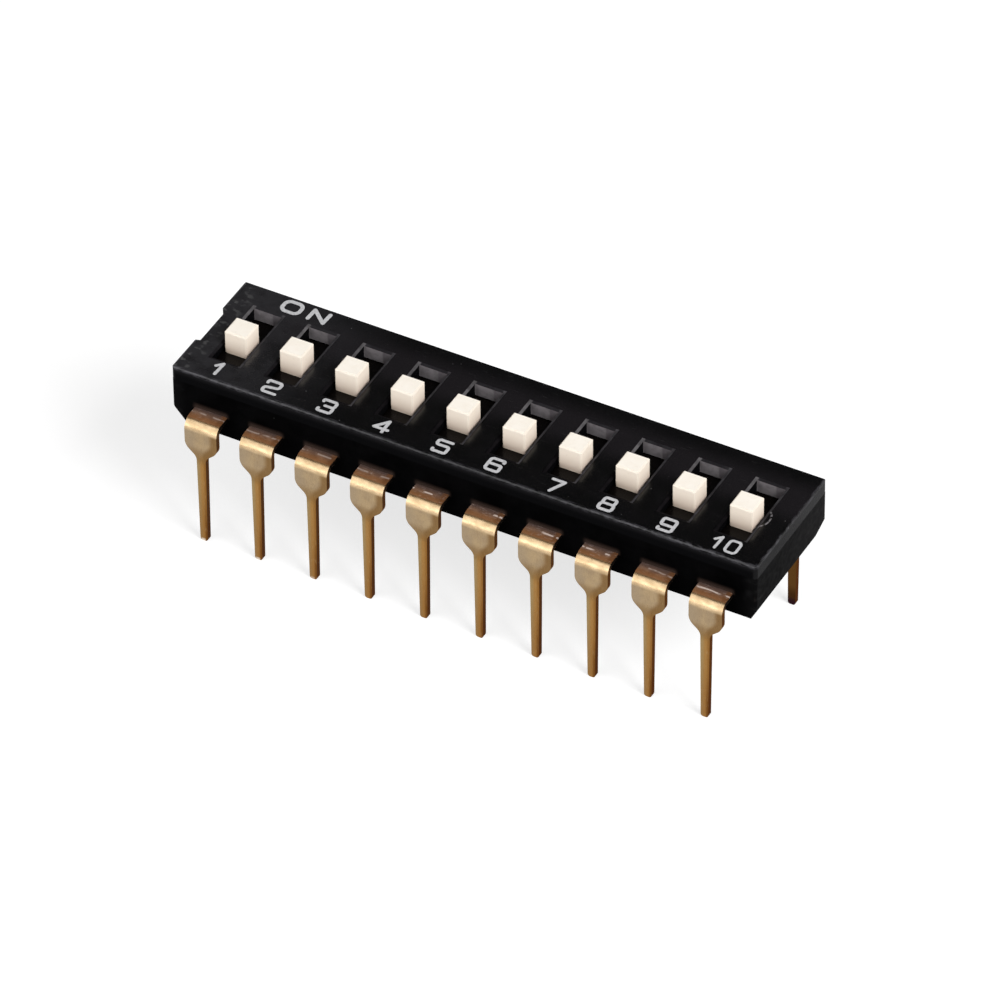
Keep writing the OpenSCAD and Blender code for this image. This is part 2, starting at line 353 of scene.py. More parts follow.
def cover_scuffs(p):
    """Scuffs at the end beside switch 1, and a few fine scratches elsewhere."""
    left_end = p.ramp(p.x, -HALF_LENGTH + 1.3, -HALF_LENGTH + 0.1)
    scuffs = p.times(p.ramp(p.noise(2.6, 5, (1, 1.4, 1), 3), 0.53, 0.68), left_end)
    scratches = p.times(p.ramp(p.noise(5, 2, (0.35, 6, 1), 11), 0.68, 0.76), 0.2)
    return p.either(scuffs, scratches)


def chipped_rim(p):
    """A broken arc beside the last slot, on the side away from the numbers."""
    chip_x = p.times(p.less(p.x, switch_x(COUNT) + SLOT_HALF_W), 1 / CHIP_REACH_X)
    chip_y = p.times(p.less(p.y, CHIP_Y), 1 / CHIP_REACH_Y)
    distance = p.add(p.times(chip_x, chip_x), p.times(chip_y, chip_y))
    arc = p.times(p.within(distance, 1, 0.08, 0.25), p.ramp(chip_x, 0.1, 0.4))
    return p.times(arc, p.ramp(p.noise(7, 2, shift=4), 0.4, 0.55))


def cover_material():
    """Satin black lid: outer edges worn and painted with highlights, sides painted with light and
    shade, slot rims with painted highlights, rear walls with the knobs' painted shadows, scuffs and
    dust.
    """
    p = Paint("cover_plastic")
    depth = p.less(TOP_Z, p.z)
    across = p.across_switch()
    in_slot = slot_area(p, across)
    upper = p.ramp(depth, EDGE_BEVEL + 0.04, EDGE_BEVEL)

    colour = p.mix(p.ramp(depth, EDGE_BEVEL, EDGE_BEVEL + 0.05), cover_top(p), cover_sides(p, depth))
    edge_wear_and_highlight = cover_edge_wear(p, depth)
    # Painted highlight along the upper edge, broken up as rubbed wear
    colour = p.mix(p.times(edge_wear_and_highlight, 0.75), colour, EDGE_WEAR_AND_HIGHLIGHT)

    wall = p.times(in_slot, p.ramp(depth, RIM_DEPTH, RIM_DEPTH + LINE_SOFT))
    colour = p.mix(wall, colour, SLOT_WALL)
    rear = p.times(wall, p.ramp(p.y, SLOT_HALF_L - 0.03, SLOT_HALF_L - 0.01))
    colour = p.mix(rear, colour, rear_wall_colour(p, across))
    rim = p.times(in_slot, p.ramp(depth, 0.001, 0.006), p.ramp(depth, RIM_DEPTH + 0.012, RIM_DEPTH))
    rim_tone = p.tone(p.noise(2.5, 3, shift=7), 0.45, 1.0)
    # Painted highlights on the slot rims, uneven along their length
    colour = p.mix(p.times(rim, rim_tone), colour, rim_colour(p, across))

    marks = p.times(cover_scuffs(p), upper, p.outside(in_slot))
    colour = p.mix(p.times(marks, 0.75), colour, SCUFF)
    colour = p.mix(p.times(p.specks(3.4, 0.10, 0.10), upper, 0.6), colour, COVER_DUST)
    colour = p.mix(p.times(chipped_rim(p), upper, 0.95), colour, CHIP)

    rough = p.tone(p.noise(3, 3, shift=8), 0.24, 0.34)
    rough = p.add(rough, p.times(p.either(edge_wear_and_highlight, marks, rim), 0.3))
    p.bump(p.add(p.noise(30, 2), p.times(p.noise(6, 2, shift=6), 1.5)), 0.35, 0.004)
    polished = p.times(p.ramp(depth, EDGE_BEVEL + 0.02, EDGE_BEVEL), p.outside(in_slot))
    p.put(p.times(polished, 0.75), p.shader.inputs["Coat Weight"])
    p.shader.inputs["Coat Roughness"].default_value = 0.2
    return p.finish(colour, rough, specular=0.01)


# ---------- base ----------

BASE_BLACK = (0.0004, 0.0004, 0.0005)
BASE_MOTTLE = (0.0014, 0.0013, 0.0015)
BASE_END_NEAR = (0.0030, 0.0029, 0.0031)
BASE_END_FAR = (0.0095, 0.0092, 0.0096)
BASE_SMEAR = (0.011, 0.0108, 0.0112)
BASE_RUBBED = (0.11, 0.108, 0.11)
METAL_GLOW = (0.040, 0.026, 0.021)
BASE_DUST = (0.06, 0.06, 0.06)


def shoulder_glow(p):
    """The metal's soft shine in the plastic just above each shoulder."""
    beside = p.within(p.across_switch(), 0, SHOULDER_HALF_W - 0.1, 0.25)
    above = p.times(p.ramp(p.z, SHOULDER_Z + 0.3, SHOULDER_Z),
                    p.ramp(p.z, SHOULDER_Z - 0.1, SHOULDER_Z - 0.05))
    on_long_side = p.ramp(p.size(p.facing_y), 0.8, 0.9)
    return p.times(beside, above, on_long_side)


def base_material():
    """Dull black moulding with a faint grain, end faces painted paler as light, and two rubbed
    upright corners.
    """
    p = Paint("base_plastic")
    colour = p.mix(p.tone(p.noise(1.2, 4)), BASE_BLACK, BASE_MOTTLE)
    # Painted light: the end faces paler, rising towards the back
    end = p.ramp(p.size(p.x), HALF_LENGTH - 0.7, HALF_LENGTH - 0.2)
    end_colour = p.mix(p.ramp(p.y, -2, 3), BASE_END_NEAR, BASE_END_FAR)
    colour = p.mix(p.times(end, 0.9), colour, end_colour)
    smears = p.times(p.ramp(p.noise(1.4, 4, (1, 1, 2.5), 4), 0.5, 0.75), 0.6)
    colour = p.mix(p.times(smears, end), colour, BASE_SMEAR)
    corner_x = p.ramp(p.size(p.x), HALF_LENGTH - 0.12, HALF_LENGTH - 0.02)
    corner_y = p.ramp(p.y, HALF_WIDTH - 0.14, HALF_WIDTH - 0.03)
    rubbed = p.times(corner_x, corner_y, p.ramp(p.noise(3, 3, shift=2), 0.35, 0.6))
    colour = p.mix(p.times(rubbed, 0.8), colour, BASE_RUBBED)
    colour = p.mix(shoulder_glow(p), colour, METAL_GLOW)
    colour = p.mix(p.times(p.specks(3.1, 0.09, 0.07, 3), 0.5), colour, BASE_DUST)
    p.bump(p.noise(26, 2), 0.3, 0.004)
    return p.finish(colour, p.tone(p.noise(4, 3, shift=8), 0.42, 0.58), specular=0.006)


# ---------- knobs and carriages ----------

KNOB_CREAM = (0.95, 0.88, 0.78)
KNOB_PALE = (0.98, 0.92, 0.83)
KNOB_SIDE_SHADE = (0.94, 0.80, 0.66)
KNOB_EDGE_SHADE = (0.84, 0.755, 0.65)
KNOB_SLOT_SHADE = (0.55, 0.43, 0.34)
KNOB_STAIN = (0.70, 0.58, 0.48)
KNOB_SPECK = (0.35, 0.27, 0.22)
CARRIAGE_BLACK = (0.002, 0.0014, 0.0012)
CARRIAGE_MARK = (0.008, 0.006, 0.005)

# Height over which the painted shade darkens a knob towards the slot
KNOB_FADE = 0.95


def knob_material():
    """Cream moulding with painted shade: darker and warmer on its sides and bevelled edges, and a
    little darker and browner towards the slot.
    """
    p = Paint("knob_plastic")
    colour = p.mix(p.tone(p.noise(2.2, 3)), KNOB_CREAM, KNOB_PALE)
    # Painted shade: the sides below the top darker and warmer than the top
    flank = p.ramp(p.z, KNOB_TOP_Z - 0.02, KNOB_TOP_Z - 0.12)
    colour = p.mix(p.times(flank, 0.6), colour, KNOB_SIDE_SHADE)
    # Painted shade: the bevelled edges, where the faces meet, darker
    flattest = p.either(p.size(p.facing_x), p.size(p.facing_y), p.size(p.facing_z))
    colour = p.mix(p.ramp(flattest, 0.97, 0.85), colour, KNOB_EDGE_SHADE)
    # Painted shade: darker and browner down towards the slot
    low = p.ramp(p.z, KNOB_UNDER_Z + KNOB_FADE, KNOB_UNDER_Z)
    colour = p.mix(p.times(low, 0.75), colour, KNOB_SLOT_SHADE)
    stain = p.times(p.ramp(p.noise(7, 3, shift=3), 0.6, 0.72), 0.18)
    colour = p.mix(stain, colour, KNOB_STAIN)
    colour = p.mix(p.times(p.specks(2.4, 0.05, 0.10, 6), 0.55), colour, KNOB_SPECK)
    p.bump(p.add(p.noise(18, 2), p.noise(4, 2, shift=1)), 0.25, 0.004)
    return p.finish(colour, p.tone(p.noise(5, 2, shift=5), 0.5, 0.62), specular=0.15)


def carriage_material():
    """Smooth glossy black moulding with faint sliding marks."""
    p = Paint("carriage_plastic")
    marks = p.ramp(p.noise(6, 3, (6, 0.5, 1), 2), 0.55, 0.75)
    colour = p.mix(p.times(marks, 0.5), CARRIAGE_BLACK, CARRIAGE_MARK)
    rough = p.add(p.tone(p.noise(5, 2), 0.16, 0.26), p.times(marks, 0.12))
    p.bump(p.noise(20, 2), 0.2, 0.002)
    return p.finish(colour, rough, specular=0.12)


# ---------- contacts and terminals ----------

CONTACT_DEEP = (0.62, 0.42, 0.16)
CONTACT_PALE = (0.78, 0.57, 0.26)

WIDE_DEEP = (0.34, 0.25, 0.155)
WIDE_PALE = (0.41, 0.30, 0.175)
WIDE_LEFT = (0.335, 0.262, 0.18)
WIDE_RIGHT_SHADE = (0.20, 0.112, 0.042)
LEG_LEFT = (0.32, 0.225, 0.105)
LEG_MIDDLE = (0.345, 0.185, 0.06)
LEG_RIGHT = (0.25, 0.118, 0.033)
LEG_LOW_SHADE = (0.22, 0.095, 0.026)
LEG_LOW_RIGHT_SHADE = (0.115, 0.042, 0.010)
NECK_SHADE = (0.20, 0.115, 0.045)
STREAK_PALE = (0.52, 0.39, 0.22)
STREAK_DARK = (0.17, 0.085, 0.03)
BEND_DEEP = (0.50, 0.355, 0.20)
BEND_BRIGHT = (0.68, 0.50, 0.30)
FOLD_SHADE = (0.42, 0.235, 0.105)
SIDE_FACE_SHADE = (0.072, 0.062, 0.062)
INNER_UPPER = (0.098, 0.046, 0.014)
INNER_LOWER = (0.048, 0.021, 0.008)
INNER_TIP = (0.024, 0.009, 0.013)
TARNISH_DEEP = (0.235, 0.122, 0.072)
TARNISH_PALE = (0.36, 0.195, 0.113)
SHOULDER_BEND_SHADE = (0.24, 0.10, 0.035)
SHOULDER_HOUSING_SHADE = (0.105, 0.068, 0.057)
SHOULDER_RIGHT_SHADE = (0.17, 0.070, 0.026)
SCRAPE_GLINT = (0.80, 0.65, 0.57)
TIP_PALE = (0.64, 0.55, 0.45)
GRAZING_TINT = (0.55, 0.34, 0.20, 1)

# Distance of the scrape on a shoulder from the housing
SCRAPE_OUT = 0.36
# Share of metal that the tarnish takes away
TARNISH_DULLS = 0.7


def contact_material():
    """Gold-plated spring strip with rolling streaks."""
    p = Paint("contact_metal")
    streaks = p.noise(5, 3, (8, 1, 1))
    colour = p.mix(p.tone(streaks), CONTACT_DEEP, CONTACT_PALE)
    p.bump(streaks, 0.2, 0.002)
    return p.finish(colour, p.tone(p.noise(8, 2, (6, 1, 1), 3), 0.2, 0.34), metallic=1.0)


def wide_part_colour(p, across):
    """The wide part: paler on its left, and painted brown shade on its right."""
    colour = p.mix(p.tone(p.noise(2.4, 3)), WIDE_DEEP, WIDE_PALE)
    colour = p.mix(p.ramp(across, 0.0, -0.7, 0, 0.7), colour, WIDE_LEFT)
    # Painted shade over the right of the wide part, widening towards the leg
    right_shade = p.add(across, p.times(p.ramp(p.z, SHOULDER_Z - 0.9, WIDE_END_Z), 0.4))
    return p.mix(p.times(p.ramp(right_shade, 0.30, 0.58), 0.85), colour, WIDE_RIGHT_SHADE)


def leg_colour(p, across):
    """The leg, with painted shade: browner and darker to the right and towards its tip."""
    # Painted shade across the leg and down towards its tip
    colour = p.mix(p.ramp(across, -0.16, 0.02), LEG_LEFT, LEG_MIDDLE)
    colour = p.mix(p.ramp(across, 0.04, 0.17), colour, LEG_RIGHT)
    colour = p.mix(p.ramp(p.z, 3.6, 0.3, 0, 0.45), colour, LEG_LOW_SHADE)
    low_right = p.times(p.ramp(across, 0.0, 0.14), p.ramp(p.z, 2.6, 0.2))
    return p.mix(p.times(low_right, 0.8), colour, LEG_LOW_RIGHT_SHADE)


def inner_face_colour(p):
    """The leg's face towards the other row, painted dark as shade from under the body, darkest at the
    tip.
    """
    colour = p.mix(p.ramp(p.z, 1.1, 0.5), INNER_UPPER, INNER_LOWER)
    return p.mix(p.ramp(p.z, 0.45, 0.15), colour, INNER_TIP)


def shoulder_scrapes(p):
    """Pale scrapes across the shoulders, painted bright as glints, stronger on some switches."""
    stronger = p.either(p.within(p.x, 2.5, 4.7, 0.3), p.ramp(p.x, 10, 10.4), 0.4)
    scratches = p.times(p.ramp(p.noise(3.4, 3, (1.1, 6, 1), 8), 0.60, 0.66), 0.22)
    wavering = p.add(p.size(p.y), p.times(p.noise(1.1, 2, shift=22), 0.2))
    scrape = p.within(wavering, HALF_WIDTH + SCRAPE_OUT, 0.015, 0.05)
    scrape = p.times(scrape, p.ramp(p.noise(2.6, 4, (1, 0.3, 1), 19), 0.47, 0.55))
    return p.times(p.either(scrape, scratches), stronger)


def shoulder_colour(p, across):
    """The top of the shoulder: tarnished, with painted shade beside the housing, towards the bend and
    on its right, and pale scrapes painted as glints.
    """
    patches = p.ramp(p.noise(3, 4, shift=12), 0.35, 0.65)
    colour = p.mix(patches, TARNISH_DEEP, TARNISH_PALE)
    # Painted shade on the shoulder: towards the bend, beside the housing, and on its right
    outward = p.ramp(p.size(p.y), HALF_WIDTH + 0.28, HALF_WIDTH + 0.50)
    colour = p.mix(p.times(outward, 0.75), colour, SHOULDER_BEND_SHADE)
    inward = p.ramp(p.size(p.y), HALF_WIDTH + 0.48, HALF_WIDTH)
    colour = p.mix(inward, colour, SHOULDER_HOUSING_SHADE)
    colour = p.mix(p.ramp(across, 0.42, 0.62, 0, 0.8), colour, SHOULDER_RIGHT_SHADE)
    # Scrapes painted pale as glints
    return p.mix(shoulder_scrapes(p), colour, SCRAPE_GLINT)


def terminal_material():
    """Gold-plated strip: tarnished shoulder, bright bend, pale wide part and browner leg, with
    painted shade and highlight patches.
    """
    p = Paint("terminal_metal")
    across = p.across_switch()
    streaks = p.noise(4, 4, (9, 9, 0.7), 2)

    leg = p.ramp(p.z, WIDE_END_Z + 0.25, WIDE_END_Z - 0.25)
    colour = p.mix(leg, wide_part_colour(p, across), leg_colour(p, across))
    # Painted shade where the wide part narrows into the leg
    neck = p.within(p.z, WIDE_END_Z + 0.02, 0.12, 0.4)
    colour = p.mix(p.times(neck, 0.55), colour, NECK_SHADE)
    colour = p.mix(p.ramp(streaks, 0.55, 0.8, 0, 0.35), colour, STREAK_PALE)
    colour = p.mix(p.ramp(streaks, 0.45, 0.25, 0, 0.35), colour, STREAK_DARK)

    # The bend paler, in patches painted to break up its highlight
    bend = p.ramp(p.z, BEND_END_Z - 0.02, BEND_END_Z + 0.13)
    highlight_patches = p.tone(p.noise(2.6, 3, (1, 2, 2), 14))
    colour = p.mix(bend, colour, p.mix(highlight_patches, BEND_DEEP, BEND_BRIGHT))
    # Painted shade: a dark brown band on the upper bend, just above its highlight
    colour = p.mix(p.ramp(p.z, SHOULDER_Z - 0.105, SHOULDER_Z - 0.035), colour, FOLD_SHADE)
    # Painted shade on the strip's cut sides
    side_faces = p.ramp(p.size(p.facing_x), 0.5, 0.8)
    colour = p.mix(p.times(side_faces, 0.9), colour, SIDE_FACE_SHADE)
    # Painted shade on the legs' faces towards the other row
    inner = p.ramp(p.times(p.facing_y, p.math("SIGN", p.y)), -0.5, -0.8)
    colour = p.mix(inner, colour, inner_face_colour(p))

    shoulder = p.ramp(p.z, SHOULDER_Z - 0.065, SHOULDER_Z - 0.03)
    colour = p.mix(shoulder, colour, shoulder_colour(p, across))
    tip = p.times(p.ramp(p.z, 0.15, 0.06), p.within(across, -0.03, 0.06, 0.06))
    near_switch_1 = p.ramp(p.x, -5, -8)
    colour = p.mix(p.times(tip, near_switch_1), colour, TIP_PALE)

    dents = p.times(p.noise(1.5, 2, shift=15), 6)
    p.bump(p.add(dents, p.add(streaks, p.noise(14, 2))), 0.3, 0.006)
    p.shader.inputs["Specular Tint"].default_value = GRAZING_TINT
    rough = p.tone(p.noise(6, 3, (5, 5, 1), 6), 0.26, 0.36)
    return p.finish(colour, rough, metallic=p.outside(p.times(shoulder, TARNISH_DULLS)))


# ---------- ink, and dressing the nodes ----------

INK_WHITE = (0.575, 0.575, 0.59)
INK_THIN = (0.36, 0.36, 0.37)


def print_material():
    """White pad-printed ink, thin in places."""
    p = Paint("print_ink")
    colour = p.mix(p.ramp(p.noise(11, 3), 0.3, 0.65, 0, 0.5), INK_WHITE, INK_THIN)
    p.bump(p.noise(24, 2), 0.3, 0.003)
    return p.finish(colour, p.tone(p.noise(9, 2, shift=3), 0.5, 0.65), specular=0.2)


def dress_nodes():
    """Gives every CAD node its finish."""
    finishes = {
        "base": base_material(),
        "cover": cover_material(),
        "knob": knob_material(),
        "carriage": carriage_material(),
        "contact": contact_material(),
        "terminal": terminal_material(),
    }
    for name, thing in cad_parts.items():
        thing.data.materials.clear()
        thing.data.materials.append(finishes[name.split("_")[0]])


# ---------- printed numbers and ON ----------

# Height of the ink above the cover, its depth in it, and the step from one stroke to the next
INK_T = 0.012
INK_SUNK = 0.002
INK_STEP = 0.0005
# Straight pieces in each rounded corner and round end
ARC_STEPS = 5
# A corner's arc takes at most this share of the lines beside it
CORNER_SHARE = 0.48

NUMBER_Y = -2.345
NUMBER_STROKE = 0.14
NUMBER_WIDTH = 0.86
NUMBER_SHIFT = -0.08
# The row of numbers is printed a little out of line with the housing
PRINT_TILT = -0.0045
# How far right of their places some numbers are printed
ASKEW = {5: 0.16, 7: 0.19, 9: 0.13}
# The two digits of 10 are thinner, and a little higher
TENS_SHIFT = -0.34
UNITS_SHIFT = 0.39
TEN_STROKE = 0.12
TEN_Y = 0.04
# ON stands behind the first two slots
ON_Y = 2.44
ON_STROKE = 0.17
ON_SHIFT = 0.73
ON_STEP = 1.24

# Each glyph is a list of strokes; a stroke is its corner points, a corner radius and closed or not.
# Without a radius the stroke is drawn as straight pieces with round ends.
GLYPHS = {
    "0": [([(-0.28, -0.35), (0.28, -0.35), (0.28, 0.35), (-0.28, 0.35)], 0.16, True)],
    "1": [([(-0.14, 0.12), (0.14, 0.35), (0.10, -0.35)], 0, False)],
    "2": [([(-0.35, 0.20), (-0.35, 0.35), (0.35, 0.35), (0.35, 0.02), (-0.35, -0.08),
            (-0.35, -0.35), (0.36, -0.35)], 0.12, False)],
    "3": [([(-0.34, 0.24), (-0.34, 0.35), (0.34, 0.35), (0.34, 0.0), (-0.12, 0.0)], 0.12, False),
          ([(-0.12, 0.0), (0.34, 0.0), (0.34, -0.35), (-0.34, -0.35), (-0.34, -0.22)], 0.12, False)],
    "4": [([(0.16, -0.35), (0.16, 0.35), (-0.36, -0.17), (0.36, -0.17)], 0, False)],
    "5": [([(0.35, 0.35), (-0.34, 0.35), (-0.34, 0.06), (0.34, 0.06), (0.34, -0.35),
            (-0.34, -0.35), (-0.34, -0.24)], 0.11, False)],
    "6": [([(0.34, 0.24), (0.34, 0.35), (-0.34, 0.35), (-0.34, -0.35), (0.34, -0.35),
            (0.34, -0.16)], 0.13, False),
          ([(-0.34, 0.03), (0.34, 0.03), (0.34, -0.16)], 0.13, False)],
    "7": [([(-0.31, 0.35), (0.31, 0.35), (-0.10, -0.35)], 0, False)],
    "8": [([(-0.30, 0.02), (0.30, 0.02), (0.30, 0.35), (-0.30, 0.35)], 0.11, True),
          ([(-0.34, -0.35), (0.34, -0.35), (0.34, 0.02), (-0.34, 0.02)], 0.12, True)],
    "9": [([(-0.34, -0.24), (-0.34, -0.35), (0.34, -0.35), (0.34, 0.35), (-0.34, 0.35),
            (-0.34, 0.16)], 0.13, False),
          ([(0.34, -0.03), (-0.34, -0.03), (-0.34, 0.16)], 0.13, False)],
    "O": [([(-0.395, -0.32), (0.395, -0.32), (0.395, 0.32), (-0.395, 0.32)], 0.24, True)],
    "N": [([(-0.37, -0.30), (-0.34, 0.30), (0.33, -0.30), (0.365, 0.30)], 0, False)],
}


def corner_arc(before, corner, after, radius):
    """Points of the arc that rounds a corner between two neighbouring points."""
    back = before - corner
    ahead = after - corner
    half_turn = back.angle(ahead) / 2
    reach = min(radius / math.tan(half_turn), back.length * CORNER_SHARE, ahead.length * CORNER_SHARE)
    bend = reach * math.tan(half_turn)
    start = corner + back.normalized() * reach
    end = corner + ahead.normalized() * reach
    inwards = (back.normalized() + ahead.normalized()).normalized()
    middle = corner + inwards * (bend / math.sin(half_turn))
    spokes = [(start - middle).lerp(end - middle, step / ARC_STEPS) for step in range(ARC_STEPS + 1)]
    return [middle + spoke.normalized() * bend for spoke in spokes]


def rounded_path(points, radius, closed):
    """Corner points to a dense path whose corners are arcs."""
    corners = [Vector(point) for point in points]
    last = len(corners) - 1
    path = []
    for k, corner in enumerate(corners):
        if not closed and k in (0, last):
            path.append(corner)
        else:
            path += corner_arc(corners[k - 1], corner, corners[(k + 1) % len(corners)], radius)
    return path


def left_of(direction):
    """A direction turned a quarter to the left."""
    return Vector((-direction.y, direction.x))


def band_sides(path, width, closed):
    """The two sides of a band of this width along a path."""
    count = len(path)
    left = []
    right = []
    for k, point in enumerate(path):
        ahead = path[(k + 1) % count] if closed else path[min(k + 1, count - 1)]
        behind = path[k - 1] if closed else path[max(k - 1, 0)]
        arriving = (point - behind).normalized() if (point - behind).length else None
        leaving = (ahead - point).normalized() if (ahead - point).length else None
        side = left_of(((arriving or leaving) + (leaving or arriving)).normalized())
        lean = side.dot(left_of(leaving or arriving))
        reach = width / 2 / max(lean, 0.5)
        left.append(point + side * reach)
        right.append(point - side * reach)
    return left, right


def round_end(end, inner, width):
    """Points of the half circle round a path's end, from its left side to its right side."""
    out = (end - inner).normalized()
    side = left_of(out)
    points = []
    for step in range(1, ARC_STEPS):
        angle = math.pi * step / ARC_STEPS
        points.append(end + (side * math.cos(angle) + out * math.sin(angle)) * width / 2)
    return points


def add_ring(mesh, outline, z):
    """Adds an outline's points at one height."""
    return [mesh.verts.new((*point, z)) for point in outline]


def closed_band(mesh, left, right, low, high):
    """Adds a band that runs back into itself."""
    left_low = add_ring(mesh, left, low)
    left_high = add_ring(mesh, left, high)
    right_low = add_ring(mesh, right, low)
    right_high = add_ring(mesh, right, high)
    for k in range(len(left)):
        n = (k + 1) % len(left)
        mesh.faces.new((right_high[k], right_high[n], left_high[n], left_high[k]))
        mesh.faces.new((left_low[k], left_low[n], right_low[n], right_low[k]))
        mesh.faces.new((left_high[k], left_high[n], left_low[n], left_low[k]))
        mesh.faces.new((right_low[k], right_low[n], right_high[n], right_high[k]))


def open_band(mesh, path, width, low, high):
    """Adds a band with round ends."""
    left, right = band_sides(path, width, False)
    last_end = round_end(path[-1], path[-2], width)
    first_end = round_end(path[0], path[1], width)
    outline = left + last_end + right[::-1] + first_end
    low_ring = add_ring(mesh, outline, low)
    high_ring = add_ring(mesh, outline, high)
    total = len(outline)
    count = len(path)
    cap = len(last_end)
    for k in range(total):
        n = (k + 1) % total
        mesh.faces.new((high_ring[n], high_ring[k], low_ring[k], low_ring[n]))
    for k in range(count - 1):
        m = 2 * count + cap - 1 - k
        mesh.faces.new((high_ring[k], high_ring[k + 1], high_ring[m - 1], high_ring[m])[::-1])
        mesh.faces.new((low_ring[k], low_ring[k + 1], low_ring[m - 1], low_ring[m]))
    for ring, turn in ((high_ring, -1), (low_ring, 1)):
        mesh.faces.new(ring[count - 1:count + cap + 1][::turn])
        mesh.faces.new((ring[2 * count + cap - 1:] + ring[:1])[::turn])


def stroke_paths(points, radius, closed):
    """A glyph stroke's paths: one rounded path, or one for each straight piece."""
    if radius:
        return [rounded_path(points, radius, closed)]
    return [[Vector(start), Vector(end)] for start, end in zip(points, points[1:])]


def add_glyph(mesh, character, middle, stroke, width):
    """Adds one character's bands of ink, each a hair higher than the last."""
    low = TOP_Z - INK_SUNK
    high = TOP_Z + INK_T
    for points, radius, closed in GLYPHS[character]:
        for corners in stroke_paths(points, radius, closed):
            path = [Vector((point.x * width, point.y)) + Vector(middle) for point in corners]
            if closed:
                closed_band(mesh, *band_sides(path, stroke, True), low, high)
            else:
                open_band(mesh, path, stroke, low, high)
            high += INK_STEP


def print_text(name, characters, y, stroke, width, ink):
    """Prints characters on the cover as one piece; each comes with its own place along the row."""
    mesh = bmesh.new()
    for character, x in characters:
        add_glyph(mesh, character, (x, y), stroke, width)
    bmesh.ops.scale(mesh, vec=(MM, MM, MM), verts=mesh.verts)
    bmesh.ops.recalc_face_normals(mesh, faces=mesh.faces)
    data = bpy.data.meshes.new(name)
    mesh.to_mesh(data)
    mesh.free()
    data.materials.append(ink)
    thing = bpy.data.objects.new(name, data)
    bpy.context.scene.collection.objects.link(thing)
    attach(thing, "housing")


def print_cover():
    """The numbers in front of the slots, and ON behind the first two."""
    ink = print_material()
    for number in range(1, COUNT + 1):
        x = switch_x(number)
        y = NUMBER_Y + PRINT_TILT * x
        stroke = NUMBER_STROKE
        characters = [(str(number), x + NUMBER_SHIFT + ASKEW.get(number, 0))]
        if number > 9:
            characters = [(str(number // 10), x + TENS_SHIFT), (str(number % 10), x + UNITS_SHIFT)]
            y += TEN_Y
            stroke = TEN_STROKE
        print_text(f"print_{number:02d}", characters, y, stroke, NUMBER_WIDTH, ink)
    on_x = switch_x(1) + ON_SHIFT
    print_text("print_on", [("O", on_x), ("N", on_x + ON_STEP)], ON_Y, ON_STROKE, 1, ink)


# ---------- studio ----------

# The floor's paint, its glow where it is looked at, and its side in metres
FLOOR_GREY = (0.42, 0.42, 0.42, 1)
FLOOR_GLOW = 0.68
FLOOR_SIDE = 6

# The studio's light by how high a ray points, from 0 for level to 1 for straight up
WALL_HEIGHT = 0.25
WALL_LIGHT = 1.0
CEILING_HEIGHT = 0.55
CEILING_LIGHT = 0.05

# The camera's direction in degrees, and its distance, target and shift in millimetres
CAMERA_AZIMUTH = 28.751
CAMERA_ELEVATION = 40.814
CAMERA_ROLL = -0.627
CAMERA_DISTANCE = 371.66
CAMERA_TARGET = (0.025, -0.045, 4.53)
CAMERA_RIGHT = 0.115
CAMERA_DOWN = 0.55
LENS_MM = 333.6
SENSOR_MM = 36


def seen_directly(nodes, links):
    """1 for the camera, and for reflections and refractions on the way to it."""
    rays = nodes.new("ShaderNodeLightPath")
    seen = rays.outputs["Is Camera Ray"]
    for kind in ("Is Glossy Ray", "Is Transmission Ray"):
        either = nodes.new("ShaderNodeMath")
        either.operation = "MAXIMUM"
        links.new(seen, either.inputs[0])
        links.new(rays.outputs[kind], either.inputs[1])
        seen = either.outputs[0]
    return seen


def floor_material():
    """Grey paint under the lamps, with a glow that makes it white where it is looked at."""
    material = bpy.data.materials.new("floor_paint")
    material.use_nodes = True
    nodes = material.node_tree.nodes
    links = material.node_tree.links
    nodes.clear()
    strength = nodes.new("ShaderNodeMath")
    strength.operation = "MULTIPLY"
    strength.inputs[1].default_value = FLOOR_GLOW
    links.new(seen_directly(nodes, links), strength.inputs[0])
    glow = nodes.new("ShaderNodeEmission")
    links.new(strength.outputs[0], glow.inputs["Strength"])
    paint = nodes.new("ShaderNodeBsdfDiffuse")
    paint.inputs["Color"].default_value = FLOOR_GREY
    both = nodes.new("ShaderNodeAddShader")
    links.new(glow.outputs[0], both.inputs[0])
    links.new(paint.outputs[0], both.inputs[1])
    out = nodes.new("ShaderNodeOutputMaterial")
    links.new(both.outputs[0], out.inputs["Surface"])
    return material


def make_floor():
    """Pale floor: white where lit, with the object's soft shadow."""
    bpy.ops.mesh.primitive_plane_add(size=FLOOR_SIDE)
    floor = bpy.context.object
    floor.name = "floor"
    floor.data.materials.append(floor_material())


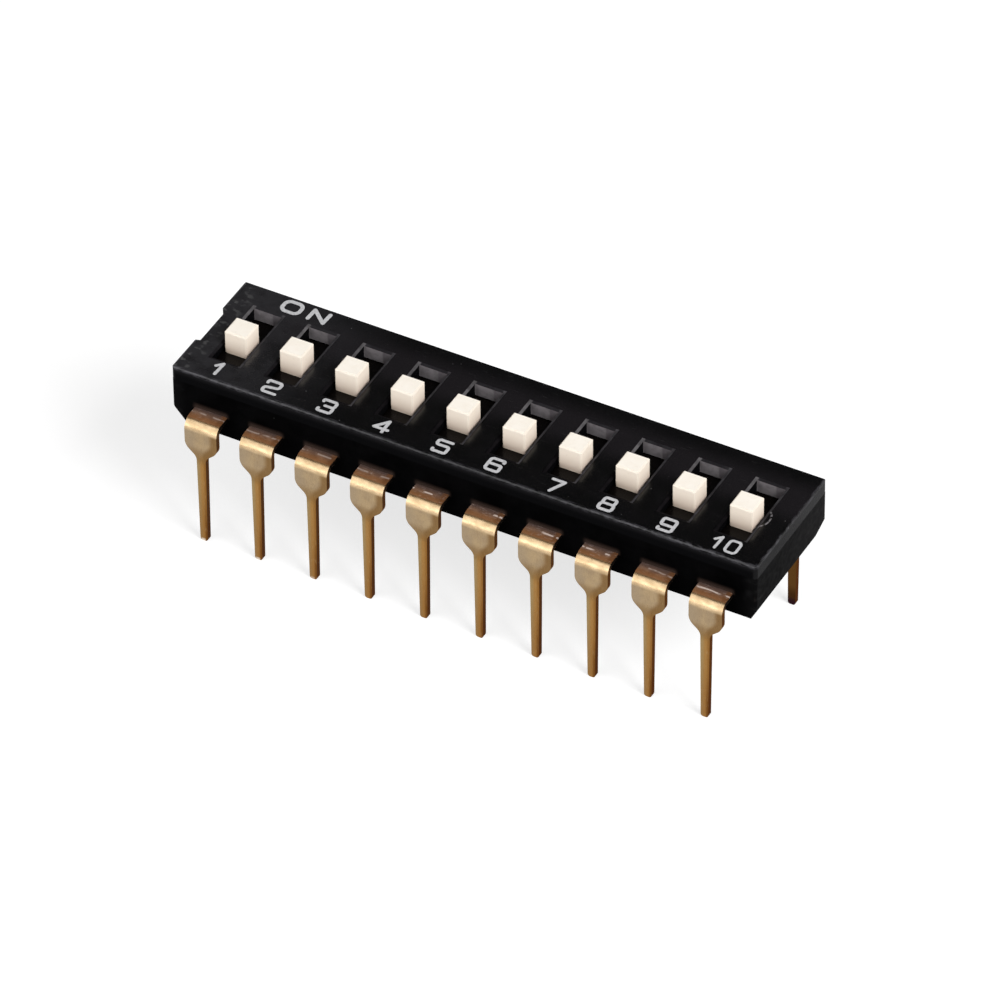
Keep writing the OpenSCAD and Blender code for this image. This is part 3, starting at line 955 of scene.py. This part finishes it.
def make_world():
    """White walls low down, which the camera also sees beyond the floor, and a dim ceiling."""
    world = bpy.data.worlds.new("studio")
    bpy.context.scene.world = world
    world.use_nodes = True
    nodes = world.node_tree.nodes
    links = world.node_tree.links
    background = nodes["Background"]
    background.inputs["Color"].default_value = (1, 1, 1, 1)
    direction = nodes.new("ShaderNodeTexCoord")
    parts = nodes.new("ShaderNodeSeparateXYZ")
    links.new(direction.outputs["Generated"], parts.inputs[0])
    light = nodes.new("ShaderNodeMapRange")
    light.interpolation_type = "SMOOTHSTEP"
    limits = (WALL_HEIGHT, CEILING_HEIGHT, WALL_LIGHT, CEILING_LIGHT)
    for socket, number in zip(light.inputs[1:5], limits):
        socket.default_value = number
    links.new(parts.outputs[2], light.inputs[0])
    links.new(light.outputs[0], background.inputs["Strength"])


def make_lamp(name, direction, distance, side, watts):
    """A soft lamp that looks at the object; its distance and side are in metres."""
    data = bpy.data.lights.new(name, "AREA")
    data.shape = "RECTANGLE"
    data.size = side
    data.size_y = side
    data.energy = watts
    lamp = bpy.data.objects.new(name, data)
    away = Vector(direction).normalized()
    lamp.location = away * distance
    lamp.rotation_mode = "QUATERNION"
    lamp.rotation_quaternion = away.to_track_quat("Z", "Y")
    bpy.context.scene.collection.objects.link(lamp)


def camera_axes():
    """The camera's right, up and backward directions."""
    azimuth = math.radians(CAMERA_AZIMUTH)
    elevation = math.radians(CAMERA_ELEVATION)
    roll = math.radians(CAMERA_ROLL)
    back = Vector((math.sin(azimuth) * math.cos(elevation),
                   -math.cos(azimuth) * math.cos(elevation), math.sin(elevation)))
    level = Vector((math.cos(azimuth), math.sin(azimuth), 0))
    upright = back.cross(level)
    right = level * math.cos(roll) + upright * math.sin(roll)
    up = upright * math.cos(roll) - level * math.sin(roll)
    return right, up, back


def make_camera():
    """Looks down at the front from the right, from far off."""
    right, up, back = camera_axes()
    data = bpy.data.cameras.new("camera")
    data.sensor_width = SENSOR_MM
    data.lens = LENS_MM
    data.clip_start = 0.01
    data.clip_end = 10
    camera = bpy.data.objects.new("camera", data)
    bpy.context.scene.collection.objects.link(camera)
    place = Vector(CAMERA_TARGET) * MM + back * (CAMERA_DISTANCE * MM)
    place = place + right * CAMERA_RIGHT * MM - up * CAMERA_DOWN * MM
    turn = Matrix((right, up, back)).transposed().to_4x4()
    camera.matrix_world = Matrix.Translation(place) @ turn
    bpy.context.scene.camera = camera


dress_nodes()
print_cover()
make_floor()
make_world()
make_lamp("window", direction=(-0.42, -0.745, 0.515), distance=0.5, side=0.56, watts=1.58)
make_lamp("key", direction=(0.72, -0.2, 0.66), distance=0.6, side=0.3, watts=3.3)
make_camera()
bpy.context.scene.view_settings.view_transform = "Standard"
